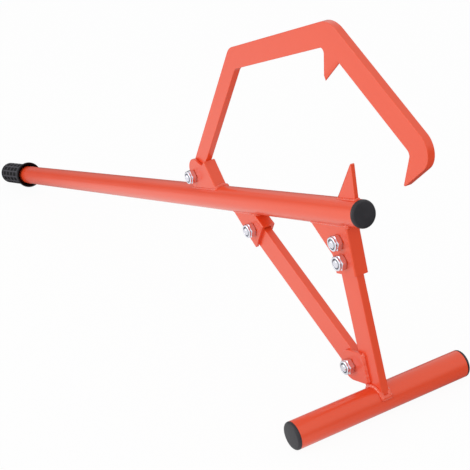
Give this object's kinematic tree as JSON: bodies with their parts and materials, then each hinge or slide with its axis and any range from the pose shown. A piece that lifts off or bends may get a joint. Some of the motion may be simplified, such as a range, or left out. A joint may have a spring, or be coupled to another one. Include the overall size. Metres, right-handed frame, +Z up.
{
  "type": "log lifter",
  "caption": "Long tube lever with a black grip, a swinging claw hook over a spike, and a braced T-shaped foot that props a lifted log off the ground.",
  "frame": {"origin": "centre of the bounding box at floor level, with the tool resting on its foot bar and the end of its grip", "axes": "+X from the grip towards the head, +Y across the tool along the foot bar, +Z up"},
  "size_m": [1.3541, 0.2438, 0.4545],
  "materials": {
    "orange_paint": "semi-gloss orange-red powder coat",
    "zinc": "bright zinc plate",
    "black_plastic": "satin black moulding",
    "black_rubber": "soft black moulding",
    "nylon": "pale nylon"
  },
  "bodies": {
    "lifter": {"handle_tube": "orange_paint", "handle_grip": "black_rubber", "head_plug": "black_plastic", "spike": "orange_paint", "hook_bracket": "orange_paint", "leg_bracket": "orange_paint", "leg": "orange_paint", "brace_bracket": "orange_paint", "brace": "orange_paint", "lug_plate_near": "orange_paint", "lug_plate_far": "orange_paint", "foot_bar": "orange_paint", "foot_plug_left": "black_plastic", "foot_plug_right": "black_plastic", "pivot_bolt": "zinc", "pivot_nut": "zinc", "leg_bolts": "zinc", "leg_nuts": "zinc", "brace_bolts": "zinc", "brace_nuts": "zinc", "nut_rings": "nylon"},
    "hook": {"hook": "orange_paint"}
  },
  "joints": [
    {"name": "hook_swing", "type": "hinge", "parent": "lifter", "child": "hook", "pos_m": [0.16571, 0, 0.20504], "axis": [0, -1, 0], "range_deg": [0, 135]}
  ]
}
